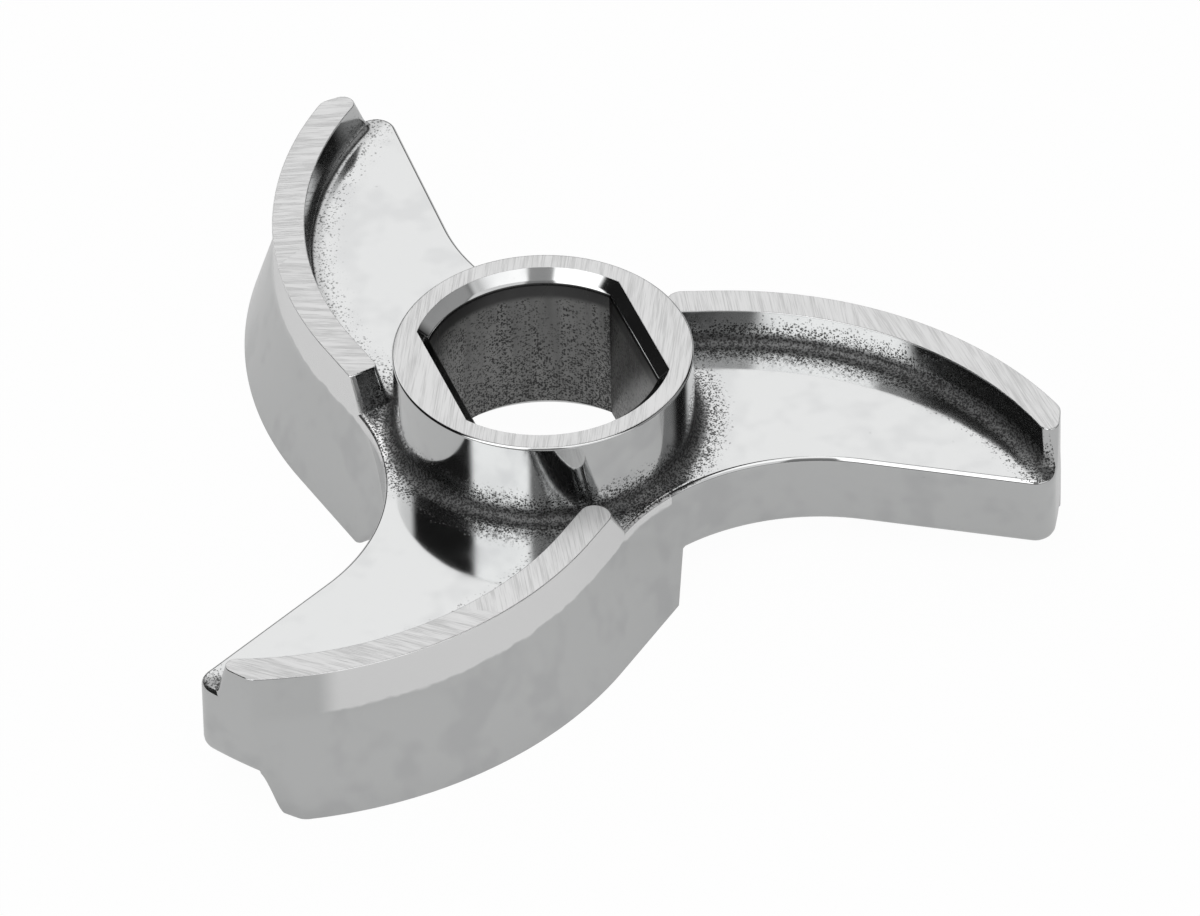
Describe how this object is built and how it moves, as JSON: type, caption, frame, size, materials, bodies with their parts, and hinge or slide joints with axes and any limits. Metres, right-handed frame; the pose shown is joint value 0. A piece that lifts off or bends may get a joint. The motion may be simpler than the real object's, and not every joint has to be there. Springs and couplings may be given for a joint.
{
  "type": "meat grinder knife",
  "caption": "Meat grinder knife: curved arms with raked cutting blades and raised ribs round a hub whose bore has two drive flats.",
  "frame": {"origin": "on the bore's axis at the height of the knife's centre of mass", "axes": "+Z along the bore's axis towards the hub's raised end, +X square to the bore's two drive flats, +Y along the flats"},
  "size_m": [0.1092, 0.1016, 0.0247],
  "materials": {
    "stainless_steel": "cast stainless steel, polished bright, with ground flat faces on the hub and the ribs and a darker rough cast bore"
  },
  "bodies": {
    "root": {"grinder_knife": "stainless_steel"}
  },
  "joints": []
}
